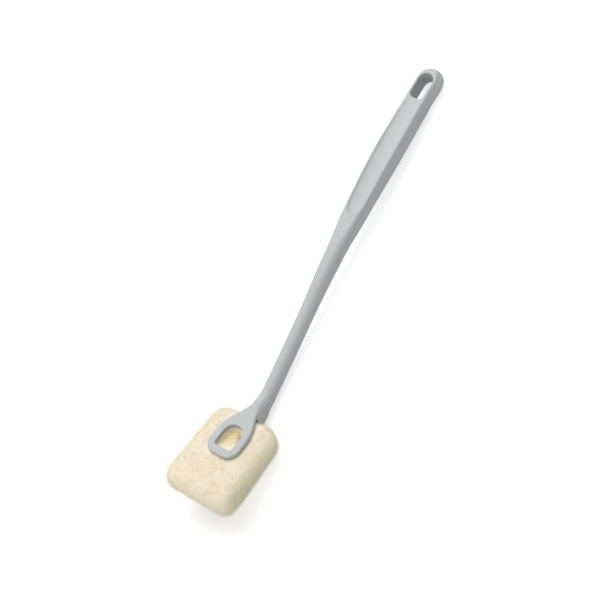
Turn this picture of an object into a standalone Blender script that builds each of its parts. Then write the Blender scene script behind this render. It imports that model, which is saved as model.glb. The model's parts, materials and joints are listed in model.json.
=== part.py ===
"""Toilet brush with a fibre pad head.

One moulded handle (grip, shaft, neck, ring and tongue) carries a sewn pad of fibre felt round a foam core.
The pad is pulled off along its own length. The brush lies on its back: the heel of the pad and the back of
the grip rest on the floor, the ring faces up.

Working axes before the brush is laid down: X across the brush, Y along the grip towards the hanging hole,
Z out of the front of the grip.
"""
import math

import bmesh
import bpy
from mathutils import Matrix, Vector

NAME = "toilet_brush"

# Handle, measured along its middle line from the hanging end
GRIP_LENGTH = 0.1360
SHAFT_LENGTH = 0.1588
END_ROUND = 0.0121
GRIP_WIDTH = 0.0200
GRIP_DEPTH = 0.0168
GRIP_EDGE_RADIUS = 0.0024
END_EDGE_RADIUS = 0.0058
END_BACK_REACH = 0.0041
END_BACK_RUN = 0.0131
END_BACK_POWER = 1.5
JUNCTION_WIDTH = 0.0176
JUNCTION_DEPTH = 0.0152
SHAFT_WIDTH = 0.0131
SHAFT_DEPTH = 0.0126

# Places on the grip and the shaft where their sizes change, and how the sizes change there
GRIP_PLACE_SHARES = (0.0, 0.15, 0.55, 1.0)
SHAFT_PLACE_SHARES = (0.2, 0.65, 1.0)
END_SIZE_SHARE = 0.95
TAPER_SHARE = 1.2
JUNCTION_EDGE_SHARE = 1.4
END_FIRST_SHARE = 0.02

# Lean of the middle line from the grip's own direction, in degrees
GRIP_LEAN = 7.1
SHAFT_LEAN = 13.3
NECK_LEAN = 11.5
HEAD_LEAN = -15.8

# Hanging hole
HANG_WIDTH = 0.0128
HANG_LENGTH = 0.0230
HANG_RIM = 0.0060
HANG_CORNER_RADIUS = 0.0042

# Scoops in the front and the back of the grip
SCOOP_WIDTH = 0.0168
SCOOP_START = 0.0225
SCOOP_DEPTH = 0.0024
BACK_SCOOP_DEPTH = 0.0014
SCOOP_TIP_ROUND = 0.0110
SCOOP_FADE_PLACE_SHARES = (0.0, 0.12, 0.5, 0.8, 1.0)
SCOOP_FADE_SHARES = (0.02, 0.45, 0.92, 1.0, 1.0)
SCOOP_START_WIDTH_SHARE = 0.7
SCOOP_TIP_POWER_SHARE = 0.8
SCOOP_END_SHARE = 0.004

# Neck and ring, measured down the head from the bend of the neck
NECK_LENGTH = 0.0216
NECK_BEND_RADIUS = 0.0170
SHOULDER_WIDTH = 0.0142
SHOULDER_DEPTH = 0.0193
NECK_PLACE_SHARES = (0.0, 0.35, 0.7, 1.0)
NECK_WIDTH_SHARES = (0.0, 0.0, 0.2, 1.0)
NECK_DEPTH_SHARES = (0.0, 0.48, 1.0, 1.0)
NECK_RADIUS_SHARES = (1.0, 0.98, 0.96)
NECK_BACK_RADIUS_SHARES = (1.0, 1.0, 0.47, 0.37)
PLATE_THICKNESS = 0.0036
PLATE_EDGE_RADIUS = 0.0009
RING_WIDTH = 0.0296
RING_CORNER_RADIUS = 0.0104
RING_LENGTH = 0.0435
RING_BAR = 0.0072
RING_HOLE_WIDTH = 0.0169
RING_HOLE_LENGTH = 0.0223
RING_HOLE_CORNER_RADIUS = 0.0030
FLARE_PLACE_SHARES = (0.0, 0.13, 0.32, 0.53, 1.0)
FLARE_WIDTH_SHARES = (0.0, 0.34, 0.77, 1.0, 1.0)
PLATE_END_SHARE = 0.96
ARCH_SHARE = 0.97

# Tongue behind the ring
TONGUE_WIDTH = 0.0122
TONGUE_THICKNESS = 0.0032
TONGUE_LENGTH = 0.0380
TONGUE_END_RADIUS = 0.0050
TONGUE_STAND = 0.0006

# Pad
PAD_WIDTH = 0.0636
PAD_LENGTH = 0.0782
PAD_TOP_THICKNESS = 0.0246
PAD_NOSE_THICKNESS = 0.0264
PAD_TOP_CORNER_RADIUS = 0.0138
PAD_NOSE_CORNER_RADIUS = 0.0070
PAD_TOP_FRONT_RADIUS = 0.0060
PAD_TOP_BACK_RADIUS = 0.0090
PAD_NOSE_FRONT_RADIUS = 0.0135
PAD_NOSE_BACK_RADIUS = 0.0105
FELT_THICKNESS = 0.0028
DISH_DEPTH = 0.0028
DISH_MARGIN = 0.0008
HEEL_FLAT_DEPTH = 0.0005
PAD_ROUNDNESS_SHARE = 0.36
HEEL_ROUNDNESS_SHARE = 0.96
HEEL_REACH = 0.0480
FORM_END_SHARE = 0.012

# Clearances
SEAT_GAP = 0.0003
POCKET_GAP = 0.0004
OVERRUN = 0.0040

# Facets
CORNER_STEPS = 5
ROUND_STEPS = 6
SPINE_STEPS = 400
CORNER_LIMIT_SHARE = 0.98
SHARP_ANGLE = 40.0
PAD_SIDES = 28
PAD_STEPS = 16

PLASTIC_COLOUR = (0.62, 0.65, 0.65, 1.0)
FELT_COLOUR = (0.86, 0.76, 0.58, 1.0)
FELT_SIDE_COLOUR = (0.80, 0.70, 0.52, 1.0)
FOAM_COLOUR = (0.88, 0.84, 0.74, 1.0)
PLASTIC_ROUGHNESS = 0.42
FELT_ROUGHNESS = 0.95
FOAM_ROUGHNESS = 0.90


def material(name, colour, roughness):
    """A plain Principled material."""
    made = bpy.data.materials.new(name)
    made.use_nodes = True
    shader = made.node_tree.nodes["Principled BSDF"]
    shader.inputs["Base Color"].default_value = colour
    shader.inputs["Roughness"].default_value = roughness
    shader.inputs["Metallic"].default_value = 0.0
    return made


def add_object(name, mesh, collection):
    made = bpy.data.objects.new(name, mesh)
    collection.objects.link(made)
    return made


def blend(places, values, place):
    """Monotone smooth curve through (places, values)."""
    if place <= places[0]:
        return values[0]
    if place >= places[-1]:
        return values[-1]
    spans = [b - a for a, b in zip(places, places[1:])]
    slopes = [(b - a) / s for a, b, s in zip(values, values[1:], spans)]
    tangents = [0.0]
    for before, after in zip(slopes, slopes[1:]):
        tangents.append(0.0 if before * after <= 0.0 else 2.0 * before * after / (before + after))
    tangents.append(0.0)
    k = max(i for i, p in enumerate(places[:-1]) if p <= place)
    t = (place - places[k]) / spans[k]
    start = (2 * t**3 - 3 * t**2 + 1) * values[k] + (t**3 - 2 * t**2 + t) * spans[k] * tangents[k]
    end = (-2 * t**3 + 3 * t**2) * values[k + 1] + (t**3 - t**2) * spans[k] * tangents[k + 1]
    return start + end


def cosine_share(step, steps, end_share):
    """A place from 0 to 1, close together at both ends, which it comes near and doesn't reach."""
    return 0.5 - 0.5 * math.cos(math.pi * (end_share + (1 - 2 * end_share) * step / steps))


def loft(name, rings, collection):
    """One closed body through rings of points, all with the same count and the same turn."""
    bm = bmesh.new()
    rows = [[bm.verts.new(p) for p in ring] for ring in rings]
    count = len(rings[0])
    for low, high in zip(rows, rows[1:]):
        for i in range(count):
            j = (i + 1) % count
            bm.faces.new((low[i], low[j], high[j], high[i]))
    bm.faces.new(rows[0])
    bm.faces.new(rows[-1])
    bmesh.ops.recalc_face_normals(bm, faces=bm.faces)
    mesh = bpy.data.meshes.new(name)
    bm.to_mesh(mesh)
    bm.free()
    return add_object(name, mesh, collection)


def rounded_section(width, front, back, radius, back_radius=None):
    """Points (across, out) of a rectangle with round corners, from its front right corner round."""
    back_radius = radius if back_radius is None else back_radius
    half = width / 2
    points = []
    for side, level, turn, r in (
        (1, front, 0.0, radius),
        (-1, front, 0.5, radius),
        (-1, back, 1.0, back_radius),
        (1, back, 1.5, back_radius),
    ):
        r = min(r, half * CORNER_LIMIT_SHARE, (front - back) / 2 * CORNER_LIMIT_SHARE)
        centre = (side * (half - r), level - r if level == front else level + r)
        for step in range(CORNER_STEPS + 1):
            angle = math.pi * (turn + 0.5 * step / CORNER_STEPS)
            points.append((centre[0] + r * math.cos(angle), centre[1] + r * math.sin(angle)))
    return points


def cut(target, cutter, operation="DIFFERENCE"):
    """Applies one exact Boolean, so the cutter may be moved or changed afterwards."""
    modifier = target.modifiers.new("cut", "BOOLEAN")
    modifier.operation = operation
    modifier.solver = "EXACT"
    modifier.object = cutter
    graph = bpy.context.evaluated_depsgraph_get()
    mesh = bpy.data.meshes.new_from_object(target.evaluated_get(graph))
    target.modifiers.remove(modifier)
    old = target.data
    target.data = mesh
    bpy.data.meshes.remove(old)
    cutter.hide_render = True
    cutter.display_type = "WIRE"


def outline_body(name, points, thickness, matrix, collection):
    """A flat outline with a thickness, its middle plane on the matrix's XY plane."""
    curve = bpy.data.curves.new(name, "CURVE")
    curve.dimensions = "2D"
    curve.fill_mode = "BOTH"
    curve.extrude = thickness / 2
    spline = curve.splines.new("POLY")
    spline.points.add(len(points) - 1)
    for point, (x, y) in zip(spline.points, points):
        point.co = (x, y, 0.0, 1.0)
    spline.use_cyclic_u = True
    holder = add_object(name + "_curve", curve, collection)
    graph = bpy.context.evaluated_depsgraph_get()
    mesh = bpy.data.meshes.new_from_object(holder.evaluated_get(graph))
    bpy.data.objects.remove(holder)
    bm = bmesh.new()
    bm.from_mesh(mesh)
    bmesh.ops.remove_doubles(bm, verts=bm.verts, dist=SEAT_GAP / 100)
    bmesh.ops.recalc_face_normals(bm, faces=bm.faces)
    bm.to_mesh(mesh)
    bm.free()
    mesh.transform(matrix)
    return add_object(name, mesh, collection)


def round_outline(corners):
    """Outline of straight runs joined by arcs. Each corner is (x, y, radius), in turn."""
    points = []
    count = len(corners)
    for i, (x, y, radius) in enumerate(corners):
        here = Vector((x, y))
        back = (Vector(corners[i - 1][:2]) - here).normalized()
        ahead = (Vector(corners[(i + 1) % count][:2]) - here).normalized()
        half = back.angle(ahead) / 2
        reach = radius / math.tan(half)
        centre = here + (back + ahead).normalized() * (radius / math.sin(half))
        start = here + back * reach - centre
        sweep = math.pi - 2 * half
        turn = -1.0 if back.cross(ahead) > 0 else 1.0
        for step in range(ROUND_STEPS + 1):
            angle = turn * -sweep * step / ROUND_STEPS
            points.append(centre + Matrix.Rotation(-angle, 2) @ start)
    return [(p.x, p.y) for p in points]


class Spine:
    """The handle's middle line in the side plane, from the hanging end to the bend of the neck."""

    def __init__(self):
        self.length = GRIP_LENGTH + SHAFT_LENGTH
        places = [0.0, GRIP_LENGTH, GRIP_LENGTH + SHAFT_LENGTH / 2, self.length]
        leans = [0.0, GRIP_LEAN, SHAFT_LEAN, NECK_LEAN]
        step = self.length / SPINE_STEPS
        y = z = 0.0
        self.rows = []
        for i in range(SPINE_STEPS + 1):
            lean = math.radians(blend(places, leans, i * step))
            self.rows.append((y, z, lean))
            y -= math.cos(lean) * step
            z -= math.sin(lean) * step

    def frame(self, along):
        """Origin on the middle line, X across, Y back up the handle, Z out of its front."""
        share = min(max(along / self.length, 0.0), 1.0) * SPINE_STEPS
        k = min(int(share), SPINE_STEPS - 1)
        t = share - k
        y, z, lean = (a + (b - a) * t for a, b in zip(self.rows[k], self.rows[k + 1]))
        return Matrix.Translation((0.0, y, z)) @ Matrix.Rotation(lean, 4, "X")


def placed(matrix, section, along=0.0):
    return [matrix @ Vector((across, along, out)) for across, out in section]


def placed_on_grip(along, section):
    """A section of the grip. Near the hanging end its back reaches further out than its front."""
    fade = max(0.0, 1 - along / END_BACK_RUN) ** END_BACK_POWER
    frame = spine.frame(along)
    return [
        frame @ Vector((across, END_BACK_REACH * fade * (GRIP_DEPTH / 2 - out) / GRIP_DEPTH, out))
        for across, out in section
    ]


# Scene
for old in list(bpy.data.objects):
    bpy.data.objects.remove(old)
parts = bpy.data.collections.new(NAME)
cutters = bpy.data.collections.new(NAME + "_cutters")
bpy.context.scene.collection.children.link(parts)
bpy.context.scene.collection.children.link(cutters)

plastic = material("handle_plastic", PLASTIC_COLOUR, PLASTIC_ROUGHNESS)
felt = material("pad_felt", FELT_COLOUR, FELT_ROUGHNESS)
felt_side = material("pad_side_felt", FELT_SIDE_COLOUR, FELT_ROUGHNESS)
foam = material("pad_foam", FOAM_COLOUR, FOAM_ROUGHNESS)

spine = Spine()

# Head frame: origin where the fronts of shaft and head meet, Y back up the head, Z out of the ring's front
shaft_end = spine.frame(spine.length)
bend_angle = math.radians(NECK_LEAN - HEAD_LEAN)
head = shaft_end @ Matrix.Translation((0.0, 0.0, SHAFT_DEPTH / 2)) @ Matrix.Rotation(-bend_angle, 4, "X")

# Handle: grip and shaft
grip_places = [GRIP_LENGTH * share for share in GRIP_PLACE_SHARES]
grip_places += [GRIP_LENGTH + SHAFT_LENGTH * share for share in SHAFT_PLACE_SHARES]
width_values = [GRIP_WIDTH * END_SIZE_SHARE, GRIP_WIDTH * END_SIZE_SHARE, GRIP_WIDTH, JUNCTION_WIDTH]
width_values += [SHAFT_WIDTH * TAPER_SHARE, SHAFT_WIDTH, SHAFT_WIDTH]
depth_values = [GRIP_DEPTH * END_SIZE_SHARE, GRIP_DEPTH * END_SIZE_SHARE, GRIP_DEPTH, JUNCTION_DEPTH]
depth_values += [SHAFT_DEPTH * TAPER_SHARE, SHAFT_DEPTH, SHAFT_DEPTH]
radius_values = [GRIP_EDGE_RADIUS, GRIP_EDGE_RADIUS, GRIP_EDGE_RADIUS, GRIP_EDGE_RADIUS * JUNCTION_EDGE_SHARE]
radius_values += [SHAFT_WIDTH / 2, SHAFT_WIDTH / 2, SHAFT_WIDTH / 2]

rings = []
END_STEPS = 12
for step in range(END_STEPS):
    turn = math.pi / 2 * max(step / END_STEPS, END_FIRST_SHARE)
    along = END_ROUND * (1 - math.cos(turn))
    width = blend(grip_places, width_values, along) * math.sin(turn)
    reach = max(0.0, 1 - along / END_EDGE_RADIUS)
    depth = blend(grip_places, depth_values, along) - 2 * END_EDGE_RADIUS * (1 - math.sqrt(1 - reach**2))
    section = rounded_section(width, depth / 2, -depth / 2, blend(grip_places, radius_values, along))
    rings.append(placed_on_grip(along, section))
SHAFT_STEPS = 36
for step in range(SHAFT_STEPS + 1):
    along = END_ROUND + (spine.length - NECK_BEND_RADIUS * math.tan(bend_angle / 2) - END_ROUND) * step / SHAFT_STEPS
    depth = blend(grip_places, depth_values, along)
    width = blend(grip_places, width_values, along)
    section = rounded_section(width, depth / 2, -depth / 2, blend(grip_places, radius_values, along))
    rings.append(placed_on_grip(along, section))

# Neck: the front sweeps round a bend, the back deepens towards the shoulder
tangent = NECK_BEND_RADIUS * math.tan(bend_angle / 2)
bend_centre = head @ Vector((0.0, -tangent, NECK_BEND_RADIUS))
neck_widths = [SHAFT_WIDTH + (SHOULDER_WIDTH - SHAFT_WIDTH) * share for share in NECK_WIDTH_SHARES]
neck_depths = [SHAFT_DEPTH + (SHOULDER_DEPTH - SHAFT_DEPTH) * share for share in NECK_DEPTH_SHARES]
neck_radii = [SHAFT_WIDTH / 2 * share for share in NECK_RADIUS_SHARES] + [PLATE_EDGE_RADIUS]
neck_back_radii = [SHAFT_WIDTH / 2 * share for share in NECK_BACK_RADIUS_SHARES]
BEND_STEPS = 5
NECK_STEPS = 5
neck_run = NECK_LENGTH - tangent
for step in range(1, BEND_STEPS + NECK_STEPS + 1):
    if step <= BEND_STEPS:
        angle = bend_angle * (1 - step / BEND_STEPS)
        frame = Matrix.Translation(bend_centre) @ head.to_3x3().to_4x4() @ Matrix.Rotation(angle, 4, "X")
        frame = frame @ Matrix.Translation((0.0, 0.0, -NECK_BEND_RADIUS))
        share = tangent * 2 * step / BEND_STEPS / (tangent * 2 + neck_run)
        low = 0.0
    else:
        frame = head
        low = -tangent - neck_run * (step - BEND_STEPS) / NECK_STEPS
        share = (tangent * 2 + neck_run * (step - BEND_STEPS) / NECK_STEPS) / (tangent * 2 + neck_run)
    section = rounded_section(
        blend(NECK_PLACE_SHARES, neck_widths, share),
        0.0,
        -blend(NECK_PLACE_SHARES, neck_depths, share),
        blend(NECK_PLACE_SHARES, neck_radii, share),
        blend(NECK_PLACE_SHARES, neck_back_radii, share),
    )
    rings.append(placed(frame, section, low))

# Ring plate: it starts at the shoulder and flares to the ring's full width
ring_foot = NECK_LENGTH + RING_LENGTH
PLATE_STEPS = 14
plate_lows = [SEAT_GAP + (RING_LENGTH - RING_CORNER_RADIUS) * step / PLATE_STEPS for step in range(PLATE_STEPS)]
for step in range(ROUND_STEPS + 2):
    turn = math.pi / 2 * min(step / (ROUND_STEPS + 1), PLATE_END_SHARE)
    plate_lows.append(RING_LENGTH - RING_CORNER_RADIUS * (1 - math.sin(turn)))
plate_lows[-1] = RING_LENGTH
for low in plate_lows:
    width = SHOULDER_WIDTH + (RING_WIDTH - SHOULDER_WIDTH) * blend(
        FLARE_PLACE_SHARES, FLARE_WIDTH_SHARES, low / RING_LENGTH
    )
    into = max(0.0, low - (RING_LENGTH - RING_CORNER_RADIUS))
    width -= 2 * (RING_CORNER_RADIUS - math.sqrt(max(RING_CORNER_RADIUS**2 - into**2, 0.0)))
    section = rounded_section(width, 0.0, -PLATE_THICKNESS, PLATE_EDGE_RADIUS)
    rings.append(placed(head, section, -NECK_LENGTH - low))
handle = loft("handle", rings, parts)

# Tongue: a flat blade from the shoulder, parallel to the ring
felt_front = PLATE_THICKNESS + SEAT_GAP
tongue_front = felt_front + DISH_DEPTH + FELT_THICKNESS + TONGUE_STAND
tongue_middle = tongue_front + TONGUE_THICKNESS / 2
tongue_outline = round_outline(
    [
        (TONGUE_WIDTH / 2, -NECK_LENGTH + OVERRUN / 2, TONGUE_THICKNESS / 4),
        (-TONGUE_WIDTH / 2, -NECK_LENGTH + OVERRUN / 2, TONGUE_THICKNESS / 4),
        (-TONGUE_WIDTH / 2, -NECK_LENGTH - TONGUE_LENGTH, TONGUE_END_RADIUS),
        (TONGUE_WIDTH / 2, -NECK_LENGTH - TONGUE_LENGTH, TONGUE_END_RADIUS),
    ]
)
tongue_frame = head @ Matrix.Translation((0.0, 0.0, -tongue_middle))
tongue = outline_body("tongue", tongue_outline, TONGUE_THICKNESS, tongue_frame, cutters)
cut(handle, tongue, "UNION")

# Ring hole: round towards the neck, square towards the nose
hole_low = -ring_foot + RING_BAR
hole_high = hole_low + RING_HOLE_LENGTH


def ring_hole_outline(grow):
    half = RING_HOLE_WIDTH / 2 + grow
    corner = RING_HOLE_CORNER_RADIUS + grow
    return round_outline(
        [
            (half, hole_high + grow, half * ARCH_SHARE),
            (-half, hole_high + grow, half * ARCH_SHARE),
            (-half, hole_low - grow, corner),
            (half, hole_low - grow, corner),
        ]
    )


hole_frame = head @ Matrix.Translation((0.0, 0.0, -PLATE_THICKNESS / 2))
ring_cutter = outline_body("ring_hole", ring_hole_outline(0.0), PLATE_THICKNESS + OVERRUN, hole_frame, cutters)
cut(handle, ring_cutter)

# Hanging hole: round towards the end, square towards the grip
hang_half = HANG_WIDTH / 2
hang_outline = round_outline(
    [
        (hang_half, -HANG_RIM, hang_half * ARCH_SHARE),
        (-hang_half, -HANG_RIM, hang_half * ARCH_SHARE),
        (-hang_half, -HANG_RIM - HANG_LENGTH, HANG_CORNER_RADIUS),
        (hang_half, -HANG_RIM - HANG_LENGTH, HANG_CORNER_RADIUS),
    ]
)
hang_cutter = outline_body("hanging_hole", hang_outline, GRIP_DEPTH + 2 * OVERRUN, Matrix(), cutters)
cut(handle, hang_cutter)

# Scoops: a round-bottomed channel that fades in below the hanging hole and ends in a spoon tip
SCOOP_STEPS = 22
ARC_STEPS = 8


def scoop(name, depth, facing):
    rings = []
    run = GRIP_LENGTH - SCOOP_START
    for step in range(SCOOP_STEPS + 1):
        share = cosine_share(step, SCOOP_STEPS, SCOOP_END_SHARE)
        along = SCOOP_START + run * share
        fade = blend(SCOOP_FADE_PLACE_SHARES, SCOOP_FADE_SHARES, share)
        left = GRIP_LENGTH - along
        tip = 1.0
        if left < SCOOP_TIP_ROUND:
            tip = math.sqrt(max(1 - (1 - left / SCOOP_TIP_ROUND) ** 2, 0.0))
        front = blend(grip_places, depth_values, along) / 2
        narrow = blend(grip_places, width_values, along) / GRIP_WIDTH
        half = SCOOP_WIDTH / 2 * narrow * tip * (SCOOP_START_WIDTH_SHARE + (1 - SCOOP_START_WIDTH_SHARE) * fade)
        deep = depth * fade * tip**SCOOP_TIP_POWER_SHARE
        section = [(half, front + OVERRUN), (half, front)]
        for k in range(1, ARC_STEPS):
            turn = math.pi * k / ARC_STEPS
            section.append((half * math.cos(turn), front - deep * math.sin(turn)))
        section += [(-half, front), (-half, front + OVERRUN)]
        frame = spine.frame(along) @ Matrix.Rotation(0.0 if facing > 0 else math.pi, 4, "Y")
        rings.append(placed(frame, section))
    return loft(name, rings, cutters)


cut(handle, scoop("scoop_front", SCOOP_DEPTH, 1))
cut(handle, scoop("scoop_back", BACK_SCOOP_DEPTH, -1))
handle.data.materials.clear()
handle.data.materials.append(plastic)

# Pad, in the head frame: its top lies under the shoulder, its nose is PAD_LENGTH further down
pad_top = -NECK_LENGTH - SEAT_GAP
pad_nose = pad_top - PAD_LENGTH


def arc_inset(distance, radius):
    """How far a round corner draws an edge in, at a distance from the corner's end."""
    if distance >= radius:
        return 0.0
    reach = radius - max(distance, 0.0)
    return radius - math.sqrt(max(radius**2 - reach**2, 0.0))


def pad_form(name, inset, collection):
    """The pad's outer form, drawn in all round by inset. Its back is rounder towards the heel's two corners."""
    rings = []
    top = pad_top - inset
    nose = pad_nose + inset
    for step in range(PAD_STEPS + 1):
        share = cosine_share(step, PAD_STEPS, FORM_END_SHARE)
        place = top + (nose - top) * share
        from_top = top - place
        from_nose = place - nose
        half = PAD_WIDTH / 2 - inset
        half -= arc_inset(from_top, PAD_TOP_CORNER_RADIUS - inset)
        half -= arc_inset(from_nose, PAD_NOSE_CORNER_RADIUS - inset)
        front = -felt_front - inset
        front -= arc_inset(from_top, PAD_TOP_FRONT_RADIUS - inset)
        front -= arc_inset(from_nose, PAD_NOSE_FRONT_RADIUS - inset)
        down = (pad_top - place) / PAD_LENGTH
        back = -felt_front - PAD_TOP_THICKNESS - (PAD_NOSE_THICKNESS - PAD_TOP_THICKNESS) * down + inset
        back += arc_inset(from_top, PAD_TOP_BACK_RADIUS - inset)
        back += arc_inset(from_nose, PAD_NOSE_BACK_RADIUS - inset)
        middle = (front + back) / 2
        heel = max(0.0, 1 - (pad_top - place) / HEEL_REACH)
        back_share = PAD_ROUNDNESS_SHARE + (HEEL_ROUNDNESS_SHARE - PAD_ROUNDNESS_SHARE) * heel
        ring = []
        for k in range(PAD_SIDES):
            turn = 2 * math.pi * (k + 0.5) / PAD_SIDES
            share = PAD_ROUNDNESS_SHARE if math.sin(turn) > 0 else back_share
            across = math.copysign(abs(math.cos(turn)) ** share, math.cos(turn)) * half
            out = math.copysign(abs(math.sin(turn)) ** share, math.sin(turn)) * (front - back) / 2
            ring.append(head @ Vector((across, place, middle + out)))
        rings.append(ring)
    return loft(name, rings, collection)


def dish_body(name, grow, collection):
    """The hollow pressed into the felt under the ring's hole."""
    outline = ring_hole_outline(grow - DISH_MARGIN)
    deep = felt_front + DISH_DEPTH + grow
    high = felt_front - OVERRUN / 2
    frame = head @ Matrix.Translation((0.0, 0.0, -(deep + high) / 2))
    return outline_body(name, outline, deep - high, frame, collection)


def seam_body(name, grow):
    """Everything between the two side seams, through the whole depth of the pad."""
    half = PAD_WIDTH / 2 - FELT_THICKNESS + grow
    top_r = PAD_TOP_CORNER_RADIUS - FELT_THICKNESS + grow
    nose_r = PAD_NOSE_CORNER_RADIUS - FELT_THICKNESS + grow
    points = []
    for sign, place, radius, ahead in (
        (1, pad_top - FELT_THICKNESS + grow, top_r, 1),
        (-1, pad_top - FELT_THICKNESS + grow, top_r, 1),
        (-1, pad_nose + FELT_THICKNESS - grow, nose_r, -1),
        (1, pad_nose + FELT_THICKNESS - grow, nose_r, -1),
    ):
        arc = []
        for step in range(ROUND_STEPS + 1):
            turn = math.pi / 2 * step / ROUND_STEPS
            x = sign * (half - radius + radius * math.cos(turn))
            y = place - ahead * radius * (1 - math.sin(turn))
            arc.append((x, y))
        arc.append((sign * (half - radius), place + ahead * OVERRUN))
        points += arc if sign * ahead > 0 else arc[::-1]
    depth = PAD_NOSE_THICKNESS + 2 * OVERRUN
    frame = head @ Matrix.Translation((0.0, 0.0, -felt_front - PAD_NOSE_THICKNESS / 2))
    return outline_body(name, points, depth, frame, cutters)


def pocket_body(name):
    """Room for the tongue, open at the pad's top."""
    half = TONGUE_WIDTH / 2 + POCKET_GAP
    outline = round_outline(
        [
            (half, pad_top + OVERRUN, TONGUE_THICKNESS / 4),
            (-half, pad_top + OVERRUN, TONGUE_THICKNESS / 4),
            (-half, -NECK_LENGTH - TONGUE_LENGTH - POCKET_GAP, TONGUE_END_RADIUS + POCKET_GAP),
            (half, -NECK_LENGTH - TONGUE_LENGTH - POCKET_GAP, TONGUE_END_RADIUS + POCKET_GAP),
        ]
    )
    return outline_body(name, outline, TONGUE_THICKNESS + 2 * POCKET_GAP, tongue_frame, cutters)


pocket = pocket_body("pocket")

shell = pad_form("pad_wrap", 0.0, parts)
cut(shell, dish_body("dish_outside", 0.0, cutters))
lining = pad_form("pad_lining", FELT_THICKNESS, cutters)
cut(lining, dish_body("dish_lining", FELT_THICKNESS, cutters))
cut(shell, lining)
cut(shell, pocket)

left = add_object("pad_side_left", shell.data.copy(), parts)
right = add_object("pad_side_right", shell.data.copy(), parts)
between = seam_body("between_seams", 0.0)
beyond = seam_body("beyond_seams", SEAT_GAP)
cut(shell, between, "INTERSECT")
for side, sign in ((left, -1), (right, 1)):
    cut(side, beyond)
    bm = bmesh.new()
    bmesh.ops.create_cube(bm, size=1.0)
    mesh = bpy.data.meshes.new(side.name + "_half")
    bm.to_mesh(mesh)
    bm.free()
    other = add_object(side.name + "_half", mesh, cutters)
    reach = PAD_LENGTH + PAD_WIDTH
    mesh.transform(Matrix.Diagonal((reach, 2 * reach, 2 * reach, 1.0)))
    mesh.transform(head @ Matrix.Translation((-sign * reach / 2, pad_top - PAD_LENGTH / 2, 0.0)))
    cut(side, other)
    side.data.materials.clear()
    side.data.materials.append(felt_side)
shell.data.materials.clear()
shell.data.materials.append(felt)

core = pad_form("pad_core", FELT_THICKNESS + SEAT_GAP, parts)
cut(core, dish_body("dish_core", FELT_THICKNESS + SEAT_GAP, cutters))
cut(core, pocket)
core.data.materials.clear()
core.data.materials.append(foam)


# Laying down: the lean of the floor at which the grip and the pad's heel both touch it
def lowest(points, lean):
    up = Vector((0.0, -math.sin(lean), math.cos(lean)))
    return min(up.dot(point) for point in points)


grip_points = [v.co for v in handle.data.vertices if v.co.y > -GRIP_LENGTH]
neck_points = [v.co for v in handle.data.vertices if v.co.y < -GRIP_LENGTH]
pad_points = [v.co for v in shell.data.vertices]
STEEPEST_LEAN = 20.0
LEAN_ROUNDS = 40
low_lean, high_lean = 0.0, math.radians(STEEPEST_LEAN)
for _ in range(LEAN_ROUNDS):
    lean = (low_lean + high_lean) / 2
    if lowest(pad_points, lean) + HEEL_FLAT_DEPTH < lowest(grip_points, lean):
        low_lean = lean
    else:
        high_lean = lean
lean = (low_lean + high_lean) / 2
floor = lowest(grip_points, lean)
print("neck above the floor in metres", round(lowest(neck_points, lean) - floor, 5))

heel_cutter_mesh = bpy.data.meshes.new("heel_cutter")
bm = bmesh.new()
bmesh.ops.create_cube(bm, size=1.0)
bm.to_mesh(heel_cutter_mesh)
bm.free()
reach = PAD_LENGTH + PAD_WIDTH
heel_cutter_mesh.transform(Matrix.Diagonal((2 * reach, 2 * reach, reach, 1.0)))
heel_frame = Matrix.Rotation(lean, 4, "X") @ Matrix.Translation((0.0, 0.0, floor - reach / 2))
pad_middle = head @ Vector((0.0, pad_top - PAD_LENGTH / 2, 0.0))
along_floor = (Matrix.Rotation(-lean, 4, "X") @ pad_middle).y
heel_cutter_mesh.transform(heel_frame @ Matrix.Translation((0.0, along_floor, 0.0)))
heel_cutter = add_object("heel_cutter", heel_cutter_mesh, cutters)
for piece in (shell, left, right):
    cut(piece, heel_cutter)

# Frames: the pad's pieces hang on an empty on the slide's axis, and everything on the laid-down brush
lying = Matrix.Rotation(-lean, 4, "X")
solids = [handle, shell, left, right, core]
corners = [lying @ v.co for o in solids for v in o.data.vertices]
middle = (min(c.y for c in corners) + max(c.y for c in corners)) / 2
ground = min(c.z for c in corners)
rest = bpy.data.objects.new(NAME, None)
rest.matrix_basis = Matrix.Translation((0.0, -middle, -ground)) @ lying
parts.objects.link(rest)
slide_frame = head @ Matrix.Translation((0.0, pad_top, -tongue_middle))
slide = bpy.data.objects.new("pad_slide", None)
slide.matrix_basis = slide_frame
parts.objects.link(slide)
slide.parent = rest
handle.parent = rest
for piece in (shell, left, right, core):
    piece.data.transform(slide_frame.inverted())
    piece.parent = slide
for cutter in cutters.objects:
    cutter.parent = rest
    cutter.hide_render = True
    cutter.display_type = "WIRE"
for piece in solids:
    piece.data.shade_smooth()
    piece.data.set_sharp_from_angle(angle=math.radians(SHARP_ANGLE))
bpy.context.view_layer.update()
axis = slide.matrix_world.to_3x3() @ Vector((0.0, -1.0, 0.0))
print("floor lean in degrees", round(math.degrees(lean), 3))
print("slide axis", [round(v, 6) for v in axis], "from", [round(v, 6) for v in slide.matrix_world.translation])
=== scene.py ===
"""Toilet brush with a fibre pad head: the finish of the moulded handle and the sewn felt pad.

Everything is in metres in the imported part's own frame. The brush lies on its back on the floor at z = 0.
"""
import json
import math
import random

import bmesh
import bpy
import numpy as np
from mathutils import Matrix, Vector, kdtree, noise


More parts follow.
